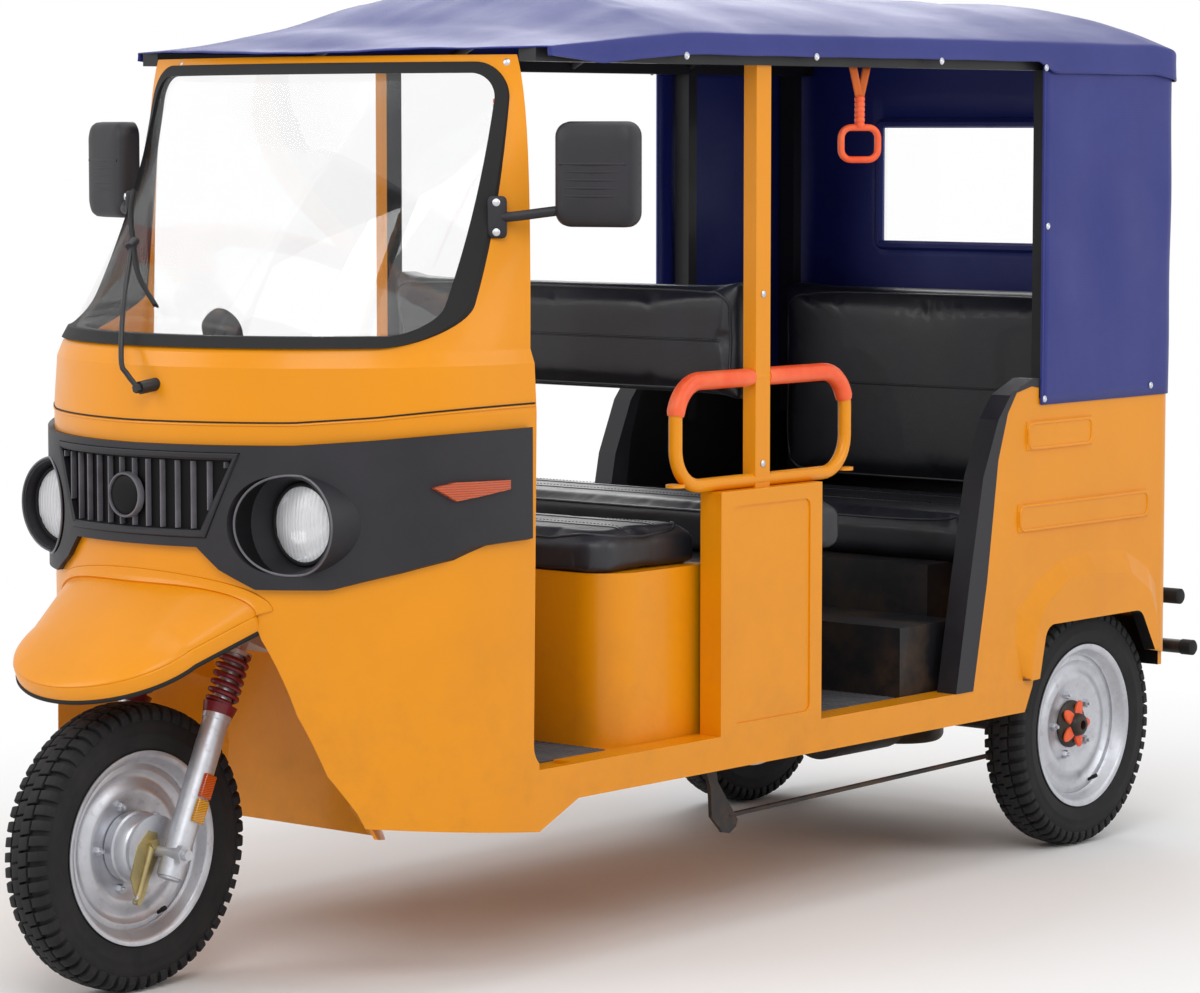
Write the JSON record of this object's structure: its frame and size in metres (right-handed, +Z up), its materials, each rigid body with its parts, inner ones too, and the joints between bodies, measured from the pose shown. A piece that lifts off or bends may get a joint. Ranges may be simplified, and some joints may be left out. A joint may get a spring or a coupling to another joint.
{
  "type": "electric rickshaw",
  "caption": "Three-wheeled electric rickshaw with a half-round cab, open doorways, benches and a canvas roof; steers and rolls.",
  "frame": {"origin": "on the ground, under the middle of the whole length and width", "axes": "+Z up, +Y towards the tail, +X towards the vehicle's left side"},
  "size_m": [1.3778, 2.985, 1.7828],
  "materials": {
    "yellow_paint": "gloss",
    "canvas": "coated canvas",
    "black_plastic": "satin",
    "black_rubber": "matt",
    "tyre": "matt",
    "wheel_silver": "satin",
    "lamp": "polished",
    "orange_lens": "gloss",
    "red_lens": "gloss",
    "orange_plastic": "satin",
    "seat_vinyl": "grained",
    "floor_rubber": "ribbed",
    "glass": "clear",
    "frame_black": "semi-gloss",
    "spring_red": "gloss",
    "battery_case": "plain"
  },
  "bodies": {
    "root": {"backrest_pad": "seat_vinyl", "battery_block": "battery_case", "bench_back": "seat_vinyl", "bench_base": "frame_black", "bench_board": "frame_black", "bench_cushion": "seat_vinyl", "bench_step": "frame_black", "brake_linkages": "frame_black", "cab_shell": "yellow_paint", "canopy": "canvas", "centre_posts": "yellow_paint", "chassis_frame": "frame_black", "cross_members": "frame_black", "curtains": "canvas", "dashboard": "black_plastic", "driver_cushion": "seat_vinyl", "floor_mats": "floor_rubber", "floor_pan": "yellow_paint", "front_mudguard": "yellow_paint", "grille": "black_plastic", "half_walls": "yellow_paint", "hand_straps": "orange_plastic", "head_tube": "frame_black", "headlamps": "lamp", "leaf_springs": "frame_black", "mirrors": "black_plastic", "mudguard_edge": "black_rubber", "nose_panel": "black_plastic", "passenger_base": "frame_black", "passenger_cushion": "seat_vinyl", "quarter_trims": "black_rubber", "rear_axle": "frame_black", "rear_bumper": "frame_black", "rear_panel": "yellow_paint", "rear_quarters": "yellow_paint", "rear_window": "glass", "roof_frame": "yellow_paint", "screen_gasket": "black_rubber", "seat_box": "yellow_paint", "side_indicators": "orange_lens", "sills": "yellow_paint", "tail_lamps": "red_lens", "wheel_well": "yellow_paint", "windscreen": "glass", "wiper": "frame_black"},
    "steering": {"steering_fork": "wheel_silver", "fork_springs": "spring_red", "handlebar": "frame_black"},
    "front_wheel": {"front_rim": "wheel_silver", "front_tyre": "tyre"},
    "rear_wheel_left": {"rear_rim_left": "wheel_silver", "rear_tyre_left": "tyre"},
    "rear_wheel_right": {"rear_rim_right": "wheel_silver", "rear_tyre_right": "tyre"}
  },
  "joints": [
    {"name": "steering", "type": "hinge", "parent": "root", "child": "steering", "pos_m": [0, -1.19175, 0.23482], "axis": [0, 0.4035, 0.915], "range_deg": [-35, 35]},
    {"name": "front_wheel_spin", "type": "hinge", "parent": "steering", "child": "front_wheel", "pos_m": [0, -1.2375, 0.255], "axis": [1, 0, 0], "continuous": true},
    {"name": "rear_left_spin", "type": "hinge", "parent": "root", "child": "rear_wheel_left", "pos_m": [0.436, 1.0735, 0.255], "axis": [1, 0, 0], "continuous": true},
    {"name": "rear_right_spin", "type": "hinge", "parent": "root", "child": "rear_wheel_right", "pos_m": [-0.436, 1.0735, 0.255], "axis": [1, 0, 0], "continuous": true}
  ]
}
